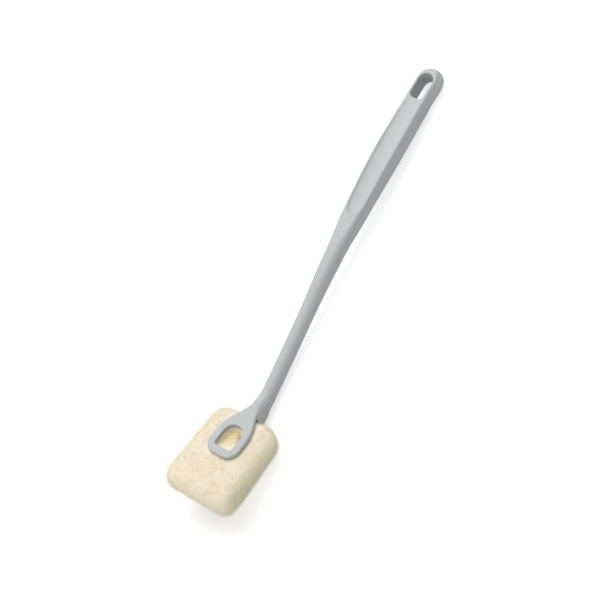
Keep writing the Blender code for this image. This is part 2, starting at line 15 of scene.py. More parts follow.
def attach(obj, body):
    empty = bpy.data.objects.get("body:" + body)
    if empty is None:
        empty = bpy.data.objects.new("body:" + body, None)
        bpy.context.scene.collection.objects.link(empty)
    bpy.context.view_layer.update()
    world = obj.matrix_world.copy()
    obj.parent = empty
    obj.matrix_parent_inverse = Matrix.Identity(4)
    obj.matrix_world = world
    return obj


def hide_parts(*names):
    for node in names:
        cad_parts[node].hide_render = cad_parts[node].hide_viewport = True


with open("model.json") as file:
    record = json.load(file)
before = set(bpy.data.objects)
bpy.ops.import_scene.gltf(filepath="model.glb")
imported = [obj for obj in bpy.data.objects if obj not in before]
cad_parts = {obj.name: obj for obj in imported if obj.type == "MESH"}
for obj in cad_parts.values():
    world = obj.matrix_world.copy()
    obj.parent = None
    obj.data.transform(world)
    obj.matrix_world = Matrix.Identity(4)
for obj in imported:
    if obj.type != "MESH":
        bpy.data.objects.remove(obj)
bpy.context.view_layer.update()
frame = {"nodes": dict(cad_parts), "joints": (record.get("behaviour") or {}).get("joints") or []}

# Handle: one injection moulding in pale grey polypropylene. The mould leaves no sharp edge on it, so the
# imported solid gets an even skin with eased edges, and a satin finish with a very fine spark-eroded grain.
HANDLE_TONE = (0.496, 0.521, 0.522, 1.0)
HANDLE_TONE_DEEP = (0.468, 0.493, 0.496, 1.0)
HANDLE_SKIN = 0.00054
HANDLE_EASING_ROUNDS = 6
EASING_SHARE = 0.5
HANDLE_ROUGHNESS = 0.52
ROUGHNESS_SPREAD_SHARE = 0.14
HANDLE_IOR = 1.49
GRAIN_SIZE = 0.00022
GRAIN_STRENGTH_SHARE = 0.12
GRAIN_DEPTH = GRAIN_SIZE / 4
GRAIN_DETAIL = 2.0
CLOUD_SIZE = 0.030
CLOUD_DETAIL = 3.0
COLOUR = "NodeSocketColor"
NUMBER = "NodeSocketFloat"


def eased_skin(piece, cell, rounds):
    """An even skin with eased edges, laid over a solid by modifiers, which leave the solid as it is."""
    skin = piece.modifiers.new("even_skin", "REMESH")
    skin.mode = "VOXEL"
    skin.voxel_size = cell
    skin.use_smooth_shade = True
    ease = piece.modifiers.new("eased_edges", "SMOOTH")
    ease.factor = EASING_SHARE
    ease.iterations = rounds


def finish_with(piece, material):
    piece.data.materials.clear()
    piece.data.materials.append(material)


def node(tree, kind, **settings):
    """A new shader node with its properties set."""
    made = tree.nodes.new(kind)
    for name, value in settings.items():
        setattr(made, name, value)
    return made


def feed(tree, socket, value):
    """Links another node's output to a socket, or sets the socket to a plain value."""
    if isinstance(value, bpy.types.NodeSocket):
        tree.links.new(value, socket)
    else:
        socket.default_value = value


def maths(tree, operation, first, second=0.0):
    """The result of a Math node on sockets or plain values."""
    made = node(tree, "ShaderNodeMath", operation=operation)
    feed(tree, made.inputs[0], first)
    feed(tree, made.inputs[1], second)
    return made.outputs[0]


def mixed(tree, amount, first, second):
    """The first colour, running into the second by the amount. Both may be sockets or plain colours."""
    made = node(tree, "ShaderNodeMix", data_type="RGBA", clamp_factor=True)
    feed(tree, made.inputs["Factor"], amount)
    feed(tree, made.inputs["A"], first)
    feed(tree, made.inputs["B"], second)
    return made.outputs["Result"]


def random_spots(tree, place, size, detail, distortion=0.0):
    """A noise of spots of a size."""
    made = node(tree, "ShaderNodeTexNoise")
    made.inputs["Detail"].default_value = detail
    made.inputs["Distortion"].default_value = distortion
    feed(tree, made.inputs["Vector"], place)
    feed(tree, made.inputs["Scale"], maths(tree, "DIVIDE", 1.0, size))
    return made.outputs["Fac"]


def new_group(name, inputs, outputs):
    """A shader node group with named sockets, and its input and output nodes."""
    group = bpy.data.node_groups.new(name, "ShaderNodeTree")
    for way, sockets in (("INPUT", inputs), ("OUTPUT", outputs)):
        for label, kind in sockets.items():
            group.interface.new_socket(label, in_out=way, socket_type=kind)
    return group, node(group, "NodeGroupInput"), node(group, "NodeGroupOutput")


def placed(tree, group, values):
    """A node group placed in a material with its own values."""
    made = node(tree, "ShaderNodeGroup", node_tree=group)
    for label, value in values.items():
        feed(tree, made.inputs[label], value)
    return made.outputs


def new_material(name):
    """A material, its node tree and its shader's input sockets."""
    made = bpy.data.materials.new(name)
    made.use_nodes = True
    return made, made.node_tree, made.node_tree.nodes["Principled BSDF"].inputs


def relief(tree, height, strength, depth):
    """The normal of a surface that is raised by a height."""
    made = node(tree, "ShaderNodeBump")
    made.inputs["Strength"].default_value = strength
    made.inputs["Distance"].default_value = depth
    feed(tree, made.inputs["Height"], height)
    return made.outputs["Normal"]


def speckle_group():
    """Clouding of the colour and a fine random grain, for plastic and foam."""
    takes = {"Tone": COLOUR, "Deep Tone": COLOUR, "Grain Size": NUMBER, "Cloud Size": NUMBER}
    gives = {"Color": COLOUR, "Grain": NUMBER, "Cloud": NUMBER}
    group, values, made = new_group("speckle", takes, gives)
    place = node(group, "ShaderNodeTexCoord").outputs["Object"]
    grain = random_spots(group, place, values.outputs["Grain Size"], GRAIN_DETAIL)
    cloud = random_spots(group, place, values.outputs["Cloud Size"], CLOUD_DETAIL)
    colour = mixed(group, cloud, values.outputs["Deep Tone"], values.outputs["Tone"])
    feed(group, made.inputs["Color"], colour)
    feed(group, made.inputs["Grain"], grain)
    feed(group, made.inputs["Cloud"], cloud)
    return group


speckle = speckle_group()


def moulded_plastic():
    made, tree, surface = new_material("moulded_plastic")
    look = placed(tree, speckle, {
        "Tone": HANDLE_TONE,
        "Deep Tone": HANDLE_TONE_DEEP,
        "Grain Size": GRAIN_SIZE,
        "Cloud Size": CLOUD_SIZE,
    })
    spread = maths(tree, "MULTIPLY", look["Cloud"], ROUGHNESS_SPREAD_SHARE)
    rough = maths(tree, "ADD", spread, HANDLE_ROUGHNESS - ROUGHNESS_SPREAD_SHARE / 2)
    feed(tree, surface["Base Color"], look["Color"])
    feed(tree, surface["Roughness"], rough)
    feed(tree, surface["Normal"], relief(tree, look["Grain"], GRAIN_STRENGTH_SHARE, GRAIN_DEPTH))
    feed(tree, surface["IOR"], HANDLE_IOR)
    return made


handle = frame["nodes"]["handle"]
eased_skin(handle, HANDLE_SKIN, HANDLE_EASING_ROUNDS)
finish_with(handle, moulded_plastic())

# Pad's form: the whole pad before it is cut into its panels, a block of needled fibre 64 x 78 x 26 mm with
# soft edges, rounder at the heel. It fills the space of its CAD solids, and is drawn in the head's own axes,
# which are across, up the head and out of the ring's front.
pull = Vector(frame["joints"][0]["axis"]).normalized()
across = Vector((1.0, 0.0, 0.0))
outward = across.cross(-pull).normalized()
head_axes = np.array([across, -pull, outward])
from_head = Matrix(head_axes.T).to_4x4()


def head_points(*names):
    """The vertices of CAD nodes in the head's own axes."""
    rows = [v.co for name in names for v in frame["nodes"][name].data.vertices]
    return np.array(rows) @ head_axes.T


pad_points = head_points("pad_wrap", "pad_side_left", "pad_side_right")
pad_half = pad_points[:, 0].max()
pad_nose, pad_top = pad_points[:, 1].min(), pad_points[:, 1].max()
pad_back, pad_front = pad_points[:, 2].min(), pad_points[:, 2].max()

TOP_CORNER = 0.0138
NOSE_CORNER = 0.0070
TOP_FRONT_ROLL = 0.0060
TOP_BACK_ROLL = 0.0090
NOSE_FRONT_ROLL = 0.0135
NOSE_BACK_ROLL = 0.0105
NOSE_EXTRA_DEPTH = 0.0018
EDGE_SHARE = 0.36
HEEL_EDGE_SHARE = 0.96
HEEL_REACH = 0.0480
END_TURNS = (0.0, 15.0, 30.0, 45.0, 60.0, 75.0, 90.0)
MIDDLE_ROWS = 15
ACROSS_SHARES = (0.0, 0.14, 0.28, 0.42, 0.56, 0.70, 0.82, 0.92, 0.975, 1.0)
DEPTH_SHARES = (0.0, 0.3, 0.6, 0.84, 0.95, 1.0)
BELT, LEFT, RIGHT = 0, 1, 2


def round_inset(distance, radius):
    """How far a round end draws a side in, at a distance from that end."""
    reach = max(radius - distance, 0.0)
    return radius - math.sqrt(max(radius**2 - reach**2, 0.0))


def form_point(x_share, place, z_share):
    """A point of the pad's form from its place on a box of the same size."""
    from_top = pad_top - place
    from_nose = place - pad_nose
    half = pad_half - round_inset(from_top, TOP_CORNER) - round_inset(from_nose, NOSE_CORNER)
    high = pad_front - round_inset(from_top, TOP_FRONT_ROLL) - round_inset(from_nose, NOSE_FRONT_ROLL)
    low = pad_back + NOSE_EXTRA_DEPTH * from_nose / (pad_top - pad_nose)
    low += round_inset(from_top, TOP_BACK_ROLL) + round_inset(from_nose, NOSE_BACK_ROLL)
    heel = max(1 - from_top / HEEL_REACH, 0.0) if z_share < 0 else 0.0
    power = 2 / (EDGE_SHARE + (HEEL_EDGE_SHARE - EDGE_SHARE) * heel)
    reach = max(abs(x_share), abs(z_share))
    power_sum = abs(x_share) ** power + abs(z_share) ** power
    rounding = reach / power_sum ** (1 / power) if reach > 0 else 0.0
    middle = (high + low) / 2
    return (half * x_share * rounding, place, middle + (high - low) / 2 * z_share * rounding)


def both_ways(shares):
    return [-share for share in reversed(shares[1:])] + list(shares)


def place_rows():
    """Places down the pad: close together round its two ends, even between them."""
    top_depth = max(TOP_CORNER, TOP_BACK_ROLL)
    nose_depth = max(NOSE_FRONT_ROLL, NOSE_BACK_ROLL)
    turns = [math.radians(turn) for turn in END_TURNS]
    top_rows = [pad_top - top_depth * (1 - math.cos(turn)) for turn in turns]
    nose_rows = [pad_nose + nose_depth * (1 - math.cos(turn)) for turn in reversed(turns)]
    start, stop = top_rows[-1], nose_rows[0]
    between = [start + (stop - start) * k / MIDDLE_ROWS for k in range(1, MIDDLE_ROWS)]
    return top_rows + between + nose_rows


def put_in_scene(name, data):
    made = bpy.data.objects.new(name, data)
    bpy.context.scene.collection.objects.link(made)
    return made


def mesh_from(bm, name):
    made = bpy.data.meshes.new(name)
    bm.to_mesh(made)
    bm.free()
    return made


def pad_form():
    """The form as one closed mesh. Each face's material index says which panel it belongs to."""
    xs, ys, zs = both_ways(ACROSS_SHARES), place_rows(), both_ways(DEPTH_SHARES)
    ends = (len(xs) - 1, len(ys) - 1, len(zs) - 1)
    bm = bmesh.new()
    corners = {}

    def corner(i, j, k):
        if (i, j, k) not in corners:
            corners[i, j, k] = bm.verts.new(form_point(xs[i], ys[j], zs[k]))
        return corners[i, j, k]

    def add_face(axis, end, first, a, second, b):
        around = []
        for da, db in ((0, 0), (1, 0), (1, 1), (0, 1)):
            key = [0, 0, 0]
            key[axis], key[first], key[second] = end, a + da, b + db
            around.append(corner(*key))
        face = bm.faces.new(around)
        if axis == 0:
            face.material_index = RIGHT if end else LEFT

    for axis in range(3):
        first, second = [other for other in range(3) if other != axis]
        for end in (0, ends[axis]):
            for a in range(ends[first]):
                for b in range(ends[second]):
                    add_face(axis, end, first, a, second, b)
    bmesh.ops.recalc_face_normals(bm, faces=bm.faces)
    mesh = mesh_from(bm, "pad_form")
    mesh.transform(from_head)
    return put_in_scene("pad_form", mesh)


form = pad_form()

# Pad's filling out: the fibre springs up between the seams and is drawn in along them. The form is blown up
# as cloth for a few steps, no point may move further than the cap, and the surface is evened and refined.
CLOTH_SCALE = 6.0
CLOTH_PRESSURE = 4.0
CLOTH_FRAMES = 20
CLOTH_QUALITY = 6
CLOTH_MASS = 0.3
CLOTH_STRETCH = 12.0
CLOTH_BEND = 0.6
SWELL_CAP = 0.0008
LEAST_SWELL = SWELL_CAP / 1000
SWELL_EVENING_ROUNDS = 4
REFINING = 2


def points_of(mesh):
    found = np.zeros(len(mesh.vertices) * 3)
    mesh.vertices.foreach_get("co", found)
    return found.reshape(-1, 3)


def normals_of(mesh):
    found = np.zeros(len(mesh.vertices) * 3)
    mesh.vertex_normals.foreach_get("vector", found)
    return found.reshape(-1, 3)


def set_points(mesh, points):
    mesh.vertices.foreach_set("co", points.ravel())
    mesh.update()


def apply_modifiers(piece):
    graph = bpy.context.evaluated_depsgraph_get()
    mesh = bpy.data.meshes.new_from_object(piece.evaluated_get(graph))
    old = piece.data
    piece.modifiers.clear()
    piece.data = mesh
    bpy.data.meshes.remove(old)


def seam_points(mesh):
    """The vertices that two panels share."""
    panels = [set() for _ in mesh.vertices]
    for face in mesh.polygons:
        for corner in face.vertices:
            panels[corner].add(face.material_index)
    return [i for i, found in enumerate(panels) if len(found) > 1]


def blow_up(piece):
    """Cloth under pressure, pinned along the seams, with its result left in the mesh."""
    seams = piece.vertex_groups.new(name="seams")
    seams.add(seam_points(piece.data), 1.0, "REPLACE")
    cloth = piece.modifiers.new("cloth", "CLOTH")
    settings = cloth.settings
    settings.quality = CLOTH_QUALITY
    settings.mass = CLOTH_MASS
    settings.tension_stiffness = CLOTH_STRETCH
    settings.compression_stiffness = CLOTH_STRETCH
    settings.bending_stiffness = CLOTH_BEND
    settings.use_pressure = True
    settings.uniform_pressure_force = CLOTH_PRESSURE
    settings.vertex_group_mass = "seams"
    settings.effector_weights.gravity = 0.0
    cloth.collision_settings.use_collision = False
    for step in range(1, CLOTH_FRAMES + 1):
        bpy.context.scene.frame_set(step)
    apply_modifiers(piece)
    bpy.context.scene.frame_set(1)


def swell(piece):
    """Blows the form up at a larger scale, then moves its points by the capped and evened result."""
    start = points_of(piece.data)
    middle = start.mean(axis=0)
    set_points(piece.data, (start - middle) * CLOTH_SCALE)
    blow_up(piece)
    moved = points_of(piece.data) / CLOTH_SCALE + middle - start
    size = np.linalg.norm(moved, axis=1, keepdims=True)
    moved *= SWELL_CAP * np.tanh(size / SWELL_CAP) / np.maximum(size, LEAST_SWELL)
    edges = np.array([edge.vertices[:] for edge in piece.data.edges])
    for _ in range(SWELL_EVENING_ROUNDS):
        around = np.zeros((len(start), 4))
        np.add.at(around[:, :3], edges[:, 0], moved[edges[:, 1]])
        np.add.at(around[:, :3], edges[:, 1], moved[edges[:, 0]])
        np.add.at(around[:, 3], edges.ravel(), 1.0)
        moved = (moved + around[:, :3] / around[:, 3:]) / 2
    set_points(piece.data, start + moved)
    piece.vertex_groups.clear()


swell(form)
refine = form.modifiers.new("refine", "SUBSURF")
refine.levels = REFINING
refine.render_levels = REFINING
apply_modifiers(form)

# Pad's front: the ring lies in a shallow seat that it has pressed in the felt. In the ring's hole the felt
# is pushed down into a slanting dish, with a fold across it and a pinch at the fold's end. The heel is flat
# where it lies on the floor.
handle_points = head_points("handle")
ring_points = handle_points[(handle_points[:, 1] < pad_top) & (handle_points[:, 2] > pad_front)]
ring_half = ring_points[:, 0].max()
ring_foot = ring_points[:, 1].min()
SEAT_MARGIN = 0.0012
SEAT_EASE = 0.0040
SEAT_ROOM = 0.0001
RING_BAR = 0.0072
HOLE_WIDTH = 0.0169
HOLE_LENGTH = 0.0223
HOLE_CORNER = 0.0030
FACING_FROM_SHARE = 0.35
FACING_RUN_SHARE = 0.5
DISH_DEPTH = 0.0027
DISH_WALL = 0.0024
DISH_LEAST_SHARE = 0.15
DISH_LEAN_SHARE = 0.9
PINCH_PLACE = (0.0044, 0.0152)
PINCH_DEPTH = 0.0028
PINCH_WIDTH = 0.0022
PINCH_LENGTH = 0.0038
PINCH_SLANT_SHARE = 0.5
DISH_SHADE_FROM_SHARE = 0.10
DISH_SHADE_RUN_SHARE = 0.38
FOLD_RISE = 0.0010
FOLD_WIDTH = 0.0014
LUMP_SIZE = 0.0050
LUMP_RISE = 0.00028
TUFT_SIZE = 0.0022
TUFT_RISE = 0.00014
SIDE_LIGHT_CHANGE_WIDTH = 0.0062
seat_level = pad_front - SEAT_ROOM
hole_foot = ring_foot + RING_BAR


def ease_in(values, width):
    """0 at or below 0, 1 at or above width, smooth between."""
    share = np.clip(values / width, 0.0, 1.0)
    return share * share * (3 - 2 * share)


def bell(values, width):
    """1 at 0, and soon 0 beyond the width on either side."""
    return np.exp(-((values / width) ** 2))


def inside_hole(points):
    """How far points lie inside the ring's hole, seen from the front; negative outside."""
    half = HOLE_WIDTH / 2
    crown = hole_foot + HOLE_LENGTH - half
    x = np.abs(points[:, 0])
    rise = points[:, 1] - crown
    round_part = half - np.hypot(x, rise)
    edge_x = x - (half - HOLE_CORNER)
    edge_y = (hole_foot + HOLE_CORNER) - points[:, 1]
    corner = np.hypot(np.maximum(edge_x, 0.0), np.maximum(edge_y, 0.0))
    square_part = HOLE_CORNER - corner - np.minimum(np.maximum(edge_x, edge_y), 0.0)
    return np.where(rise > 0, round_part, square_part)


def note_on(mesh, name, amounts):
    """Keeps an amount from 0 to 1 at each point, for the felt's colour to follow."""
    noted = mesh.attributes.new(name, "FLOAT", "POINT")
    noted.data.foreach_set("value", amounts)


def press_front(mesh):
    """The ring's seat, and the dish, pinch and fold in its hole, with notes on where painted shade and
    painted light go.
    """
    points = points_of(mesh) @ head_axes.T
    normals = normals_of(mesh) @ head_axes.T
    facing = ease_in(normals[:, 2] - FACING_FROM_SHARE, FACING_RUN_SHARE)
    beside = np.abs(points[:, 0]) - ring_half - SEAT_MARGIN
    below = ring_foot - SEAT_MARGIN - points[:, 1]
    free = ease_in(np.maximum(beside, below), SEAT_EASE)
    proud = np.maximum(points[:, 2] - seat_level, 0.0)
    points[:, 2] -= proud * (1 - free) * (facing > 0)

    wall = ease_in(inside_hole(points), DISH_WALL) * facing
    over = points[:, 0] / HOLE_WIDTH
    up = (points[:, 1] - hole_foot) / HOLE_LENGTH
    slant = ease_in(DISH_LEAN_SHARE * (up - over) + (1 - DISH_LEAN_SHARE) / 2, 1.0)
    points[:, 2] -= DISH_DEPTH * wall * (DISH_LEAST_SHARE + (1 - DISH_LEAST_SHARE) * slant)

    beside_pinch = points[:, 0] - PINCH_PLACE[0]
    along_pinch = points[:, 1] - hole_foot - PINCH_PLACE[1]
    off_pinch = beside_pinch + along_pinch * PINCH_SLANT_SHARE
    pinch = bell(off_pinch, PINCH_WIDTH) * bell(along_pinch, PINCH_LENGTH) * wall
    points[:, 2] -= PINCH_DEPTH * pinch
    fold = bell(along_pinch + PINCH_LENGTH - beside_pinch, FOLD_WIDTH) * wall
    points[:, 2] += FOLD_RISE * fold * (1 - pinch)
    set_points(mesh, points @ head_axes)

    # The dish's upper side, deepest and shaded by the ring's wall, gets painted shade: the tan dish tone.
    dish_shade = ease_in(up - over * DISH_SHADE_RUN_SHARE - DISH_SHADE_FROM_SHARE, DISH_SHADE_RUN_SHARE)
    note_on(mesh, "painted_dish_shade", wall * dish_shade)
    # The pinch's crease gets painted shade, brown.
    note_on(mesh, "painted_pinch_shade", pinch)
    # Towards the sides the colour turns lighter and yellower-green: painted light on the side faces, which
    # lie in shade.
    note_on(mesh, "painted_side_light", 1.0 - ease_in(pad_half - np.abs(points[:, 0]), SIDE_LIGHT_CHANGE_WIDTH))


def fluff(mesh):
    """The uneven surface of needled fibre, low lumps and small tufts, held down by the ring and the floor."""
    points = points_of(mesh)
    normals = normals_of(mesh)
    rises = np.zeros((len(points), 1))
    for i, point in enumerate(points):
        lump = noise.noise(Vector(point) / LUMP_SIZE)
        tuft = noise.noise(Vector(point) / TUFT_SIZE)
        rises[i] = LUMP_RISE * lump + TUFT_RISE * tuft
    local = points @ head_axes.T
    under_ring = (np.abs(local[:, 0]) < ring_half + SEAT_MARGIN) & (local[:, 2] > seat_level - LUMP_RISE)
    rises[under_ring] = np.minimum(rises[under_ring], 0.0)
    points += normals * rises
    points[:, 2] = np.maximum(points[:, 2], 0.0)
    set_points(mesh, points)


press_front(form.data)
fluff(form.data)

# Felt panels: a belt runs over the front, the nose, the back and the top, and a panel is sewn in at each
# side. Each is needled felt cut from the sheet and rolled in along the seam. A slot in the belt's top lets
# the tongue in.
PANEL_THICKNESS = 0.0022
SEAM_ROLL = 0.0005
SEAM_GAP = 0.00001
SLOT_ROOM = 0.0004
below_top = handle_points[:, 1] < pad_top - PANEL_THICKNESS
behind_front = handle_points[:, 2] < pad_front - PANEL_THICKNESS
tongue_points = handle_points[below_top & behind_front]
tongue_low = tongue_points.min(axis=0)
tongue_high = tongue_points.max(axis=0)


def finder(points):
    """A search tree over points."""
    tree = kdtree.KDTree(len(points))
    for i, point in enumerate(points):
        tree.insert(point, i)
    tree.balance()
    return tree


form_normals = normals_of(form.data)
form_finder = finder(points_of(form.data))


def roll_edges_in(bm, side):
    """Rolls a cut panel's raw edges in along the seam, and draws them a hair outwards or inwards by side."""
    edge_finder = finder([v.co for v in bm.verts if v.is_boundary])
    inwards = [-Vector(form_normals[form_finder.find(v.co)[1]]) for v in bm.verts]
    for v, inward in zip(bm.verts, inwards):
        distance = edge_finder.find(v.co)[2]
        if distance < SEAM_ROLL:
            reach = SEAM_ROLL - distance
            v.co += inward * round_inset(distance, SEAM_ROLL)
            v.co.x += side * math.copysign(SEAM_GAP, v.co.x) * reach / SEAM_ROLL


def cut_panel(name, index, node_name):
    """One panel cut from the form, with its edges rolled in and its thickness."""
    bm = bmesh.new()
    bm.from_mesh(form.data)
    others = [face for face in bm.faces if face.material_index != index]
    bmesh.ops.delete(bm, geom=others, context="FACES")
    for face in bm.faces:
        face.material_index = 0
        face.smooth = True
    roll_edges_in(bm, side=-1.0 if index == BELT else 1.0)
    piece = put_in_scene(name, mesh_from(bm, name))
    shell = piece.modifiers.new("thickness", "SOLIDIFY")
    shell.thickness = PANEL_THICKNESS
    shell.offset = -1.0
    apply_modifiers(piece)
    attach(piece, "pad")
    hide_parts(node_name)
    return piece


def slot_cutter():
    """A block round the tongue that reaches out through the felt of the pad's top."""
    bm = bmesh.new()
    bmesh.ops.create_cube(bm, size=1.0)
    mesh = mesh_from(bm, "tongue_slot")
    size = Vector(tongue_high - tongue_low) + Vector((2 * SLOT_ROOM, 2 * PANEL_THICKNESS, 2 * SLOT_ROOM))
    middle = Vector((tongue_high + tongue_low) / 2) + Vector((0.0, 2 * PANEL_THICKNESS, 0.0))
    mesh.transform(Matrix.Diagonal((*size, 1.0)))
    mesh.transform(Matrix.Translation(middle))
    mesh.transform(from_head)
    return put_in_scene("tongue_slot", mesh)


belt = cut_panel("felt_belt", BELT, "pad_wrap")
side_left = cut_panel("felt_side_left", LEFT, "pad_side_left")
side_right = cut_panel("felt_side_right", RIGHT, "pad_side_right")
cutter = slot_cutter()
belt_slot = belt.modifiers.new("slot", "BOOLEAN")
belt_slot.object = cutter
apply_modifiers(belt)
bpy.data.objects.remove(cutter)

# Felt's finish: pale undyed fibre, matt and downy. Its colour carries painted light and shade: lighter and
# yellower-green towards the sides, painted light on the side faces, which lie in shade; darker between the
# fibre lines, painted shade; tan in the ring's dish and brown at the pinch, painted shade in the hollows
# there.
FELT_TONE = (0.985, 0.900, 0.750, 1.0)
FELT_SHADE_AND_BLOTCH_TONE = (0.920, 0.805, 0.560, 1.0)
SIDE_PAINTED_LIGHT_TONE = (0.990, 0.965, 0.770, 1.0)
SIDE_LIGHT_SHADE_AND_BLOTCH_TONE = (0.955, 0.915, 0.670, 1.0)
DISH_SHADE_TONE = (0.890, 0.735, 0.430, 1.0)
PINCH_SHADE_TONE = (0.520, 0.370, 0.230, 1.0)
FELT_ROUGHNESS = 0.95
FELT_SPECULAR = 0.15
FELT_SHEEN = 1.0
FELT_SHEEN_ROUGHNESS = 0.6
FELT_SHEEN_TINT = (1.0, 0.96, 0.80, 1.0)
FIBRE_SIZE = 0.0009
FIBRE_STRENGTH_SHARE = 0.6
FIBRE_DEPTH = FIBRE_SIZE / 6
FIBRE_TURNS = (0.3, 1.4, 2.5)
FIBRE_TILT_SHARE = 0.7
FIBRE_STRETCH = (1.0, 0.3, 1.0)
FIBRE_DETAIL = 2.0
FIBRE_CURL = 1.2
FIBRE_NARROWING = 7.0
FIBRE_LIGHT_SHARE = 0.55
BLOTCH_SIZE = 0.0060
BLOTCH_DETAIL = 4.0


def fibre_ridges(tree, place, size, turn):
    """Thin curly lines that lie one way: the places where a stretched noise is close to its middle value."""
    lay = node(tree, "ShaderNodeMapping")
    lay.inputs["Rotation"].default_value = (turn, turn * FIBRE_TILT_SHARE, turn)
    lay.inputs["Scale"].default_value = FIBRE_STRETCH
    lay.inputs["Location"].default_value = (turn, turn, turn)
    feed(tree, lay.inputs["Vector"], place)
    lines = random_spots(tree, lay.outputs["Vector"], size, FIBRE_DETAIL, FIBRE_CURL)
    off_line = maths(tree, "ABSOLUTE", maths(tree, "SUBTRACT", lines, 0.5))
    ridge = maths(tree, "SUBTRACT", 1.0, maths(tree, "MULTIPLY", off_line, FIBRE_NARROWING))
    return maths(tree, "MAXIMUM", ridge, 0.0)


def fibre_group():
    """Felted fibres: thin curly lines lying across each other in three directions, over soft blotches.
    The colour is lighter on the lines and darker between them, painted shade, and darker in random blotches.
    """
    takes = {"Tone": COLOUR, "Shade And Blotch Tone": COLOUR, "Fibre Size": NUMBER, "Blotch Size": NUMBER}
    group, values, made = new_group("felted_fibres", takes, {"Color": COLOUR, "Height": NUMBER})
    place = node(group, "ShaderNodeTexCoord").outputs["Object"]
    height = 0.0
    for turn in FIBRE_TURNS:
        ridge = fibre_ridges(group, place, values.outputs["Fibre Size"], turn)
        height = maths(group, "MAXIMUM", height, ridge)
    blotch = random_spots(group, place, values.outputs["Blotch Size"], BLOTCH_DETAIL)
    # Lighter on the fibre lines and darker between them: painted shade in the hollows, with random blotches
    # on top.
    light = maths(group, "ADD", maths(group, "MULTIPLY", height, FIBRE_LIGHT_SHARE), blotch)
    colour = mixed(group, light, values.outputs["Shade And Blotch Tone"], values.outputs["Tone"])
    feed(group, made.inputs["Color"], colour)
    feed(group, made.inputs["Height"], height)
    return group


felted_fibres = fibre_group()


def felt(name, tone, shade_and_blotch_tone):
    """Felt of a tone with painted light towards the sides, and painted shade in the ring's dish and at the
    pinch.
    """
    made, tree, surface = new_material(name)
    sizes = {"Fibre Size": FIBRE_SIZE, "Blotch Size": BLOTCH_SIZE}
    look = placed(tree, felted_fibres, {"Tone": tone, "Shade And Blotch Tone": shade_and_blotch_tone, **sizes})
    side_light_look = placed(tree, felted_fibres, {"Tone": SIDE_PAINTED_LIGHT_TONE, "Shade And Blotch Tone": SIDE_LIGHT_SHADE_AND_BLOTCH_TONE, **sizes})
    colour = look["Color"]
    changes = (("painted_side_light", side_light_look["Color"]), ("painted_dish_shade", DISH_SHADE_TONE), ("painted_pinch_shade", PINCH_SHADE_TONE))
    for noted, other in changes:
        amount = node(tree, "ShaderNodeAttribute", attribute_name=noted).outputs["Fac"]
        colour = mixed(tree, amount, colour, other)
    feed(tree, surface["Base Color"], colour)
    feed(tree, surface["Normal"], relief(tree, look["Height"], FIBRE_STRENGTH_SHARE, FIBRE_DEPTH))
    feed(tree, surface["Roughness"], FELT_ROUGHNESS)
    feed(tree, surface["Specular IOR Level"], FELT_SPECULAR)
    feed(tree, surface["Sheen Weight"], FELT_SHEEN)
    feed(tree, surface["Sheen Roughness"], FELT_SHEEN_ROUGHNESS)
    feed(tree, surface["Sheen Tint"], FELT_SHEEN_TINT)
    return made


front_felt = felt("front_felt", FELT_TONE, FELT_SHADE_AND_BLOTCH_TONE)
# The side strands carry the side's painted light all over.
side_painted_light_felt = felt("side_painted_light_felt", SIDE_PAINTED_LIGHT_TONE, SIDE_LIGHT_SHADE_AND_BLOTCH_TONE)
for panel in (belt, side_left, side_right):
    finish_with(panel, front_felt)

# Loose fibres: the needled surface is never closed, short ends stand off it at a low angle and curl back.
# They are real strands, so that the pad's outline is as soft as its face.
STRAND_COUNT = 13000
SIDE_STRAND_COUNT = 5000
STRAND_LENGTH = 0.0030
STRAND_LENGTH_SHARES = (0.5, 1.3)
STRAND_RISE = 0.00130
STRAND_RISE_SHARES = (0.2, 1.7)
STRAND_LIFT_SHARE = 1.2
STRAND_DROOP_SHARE = 0.4
STRAND_CURL_SHARE = 0.35
STRAND_RADIUS = 0.000055
STRAND_TAPER_SHARE = 0.6
STRAND_SIDES = 3
STRAND_STEPS = 2
RING_CLEARANCE = 0.0016
FLOOR_CLEARANCE = 0.0010
LEAST_HEIGHT = STRAND_RADIUS / 10
BELT_SEED, LEFT_SEED, RIGHT_SEED = 11, 12, 13
pad_middle = Vector(points_of(form.data).mean(axis=0))


def open_faces(mesh):
    """A panel's outer faces that neither ring nor floor covers, with the running total of their area."""
    faces = []
    totals = []
    total = 0.0
    for face in mesh.polygons:
        middle = Vector(face.center)
        local = head_axes @ np.array(middle)
        outside = face.normal.dot(middle - pad_middle) > 0
        near_ring = abs(local[0]) < ring_half + RING_CLEARANCE and local[1] > ring_foot - RING_CLEARANCE
        under_ring = near_ring and local[2] > pad_front - DISH_DEPTH
        if outside and middle.z >= FLOOR_CLEARANCE and not under_ring:
            total += face.area
            faces.append(face)
            totals.append(total)
    return faces, totals


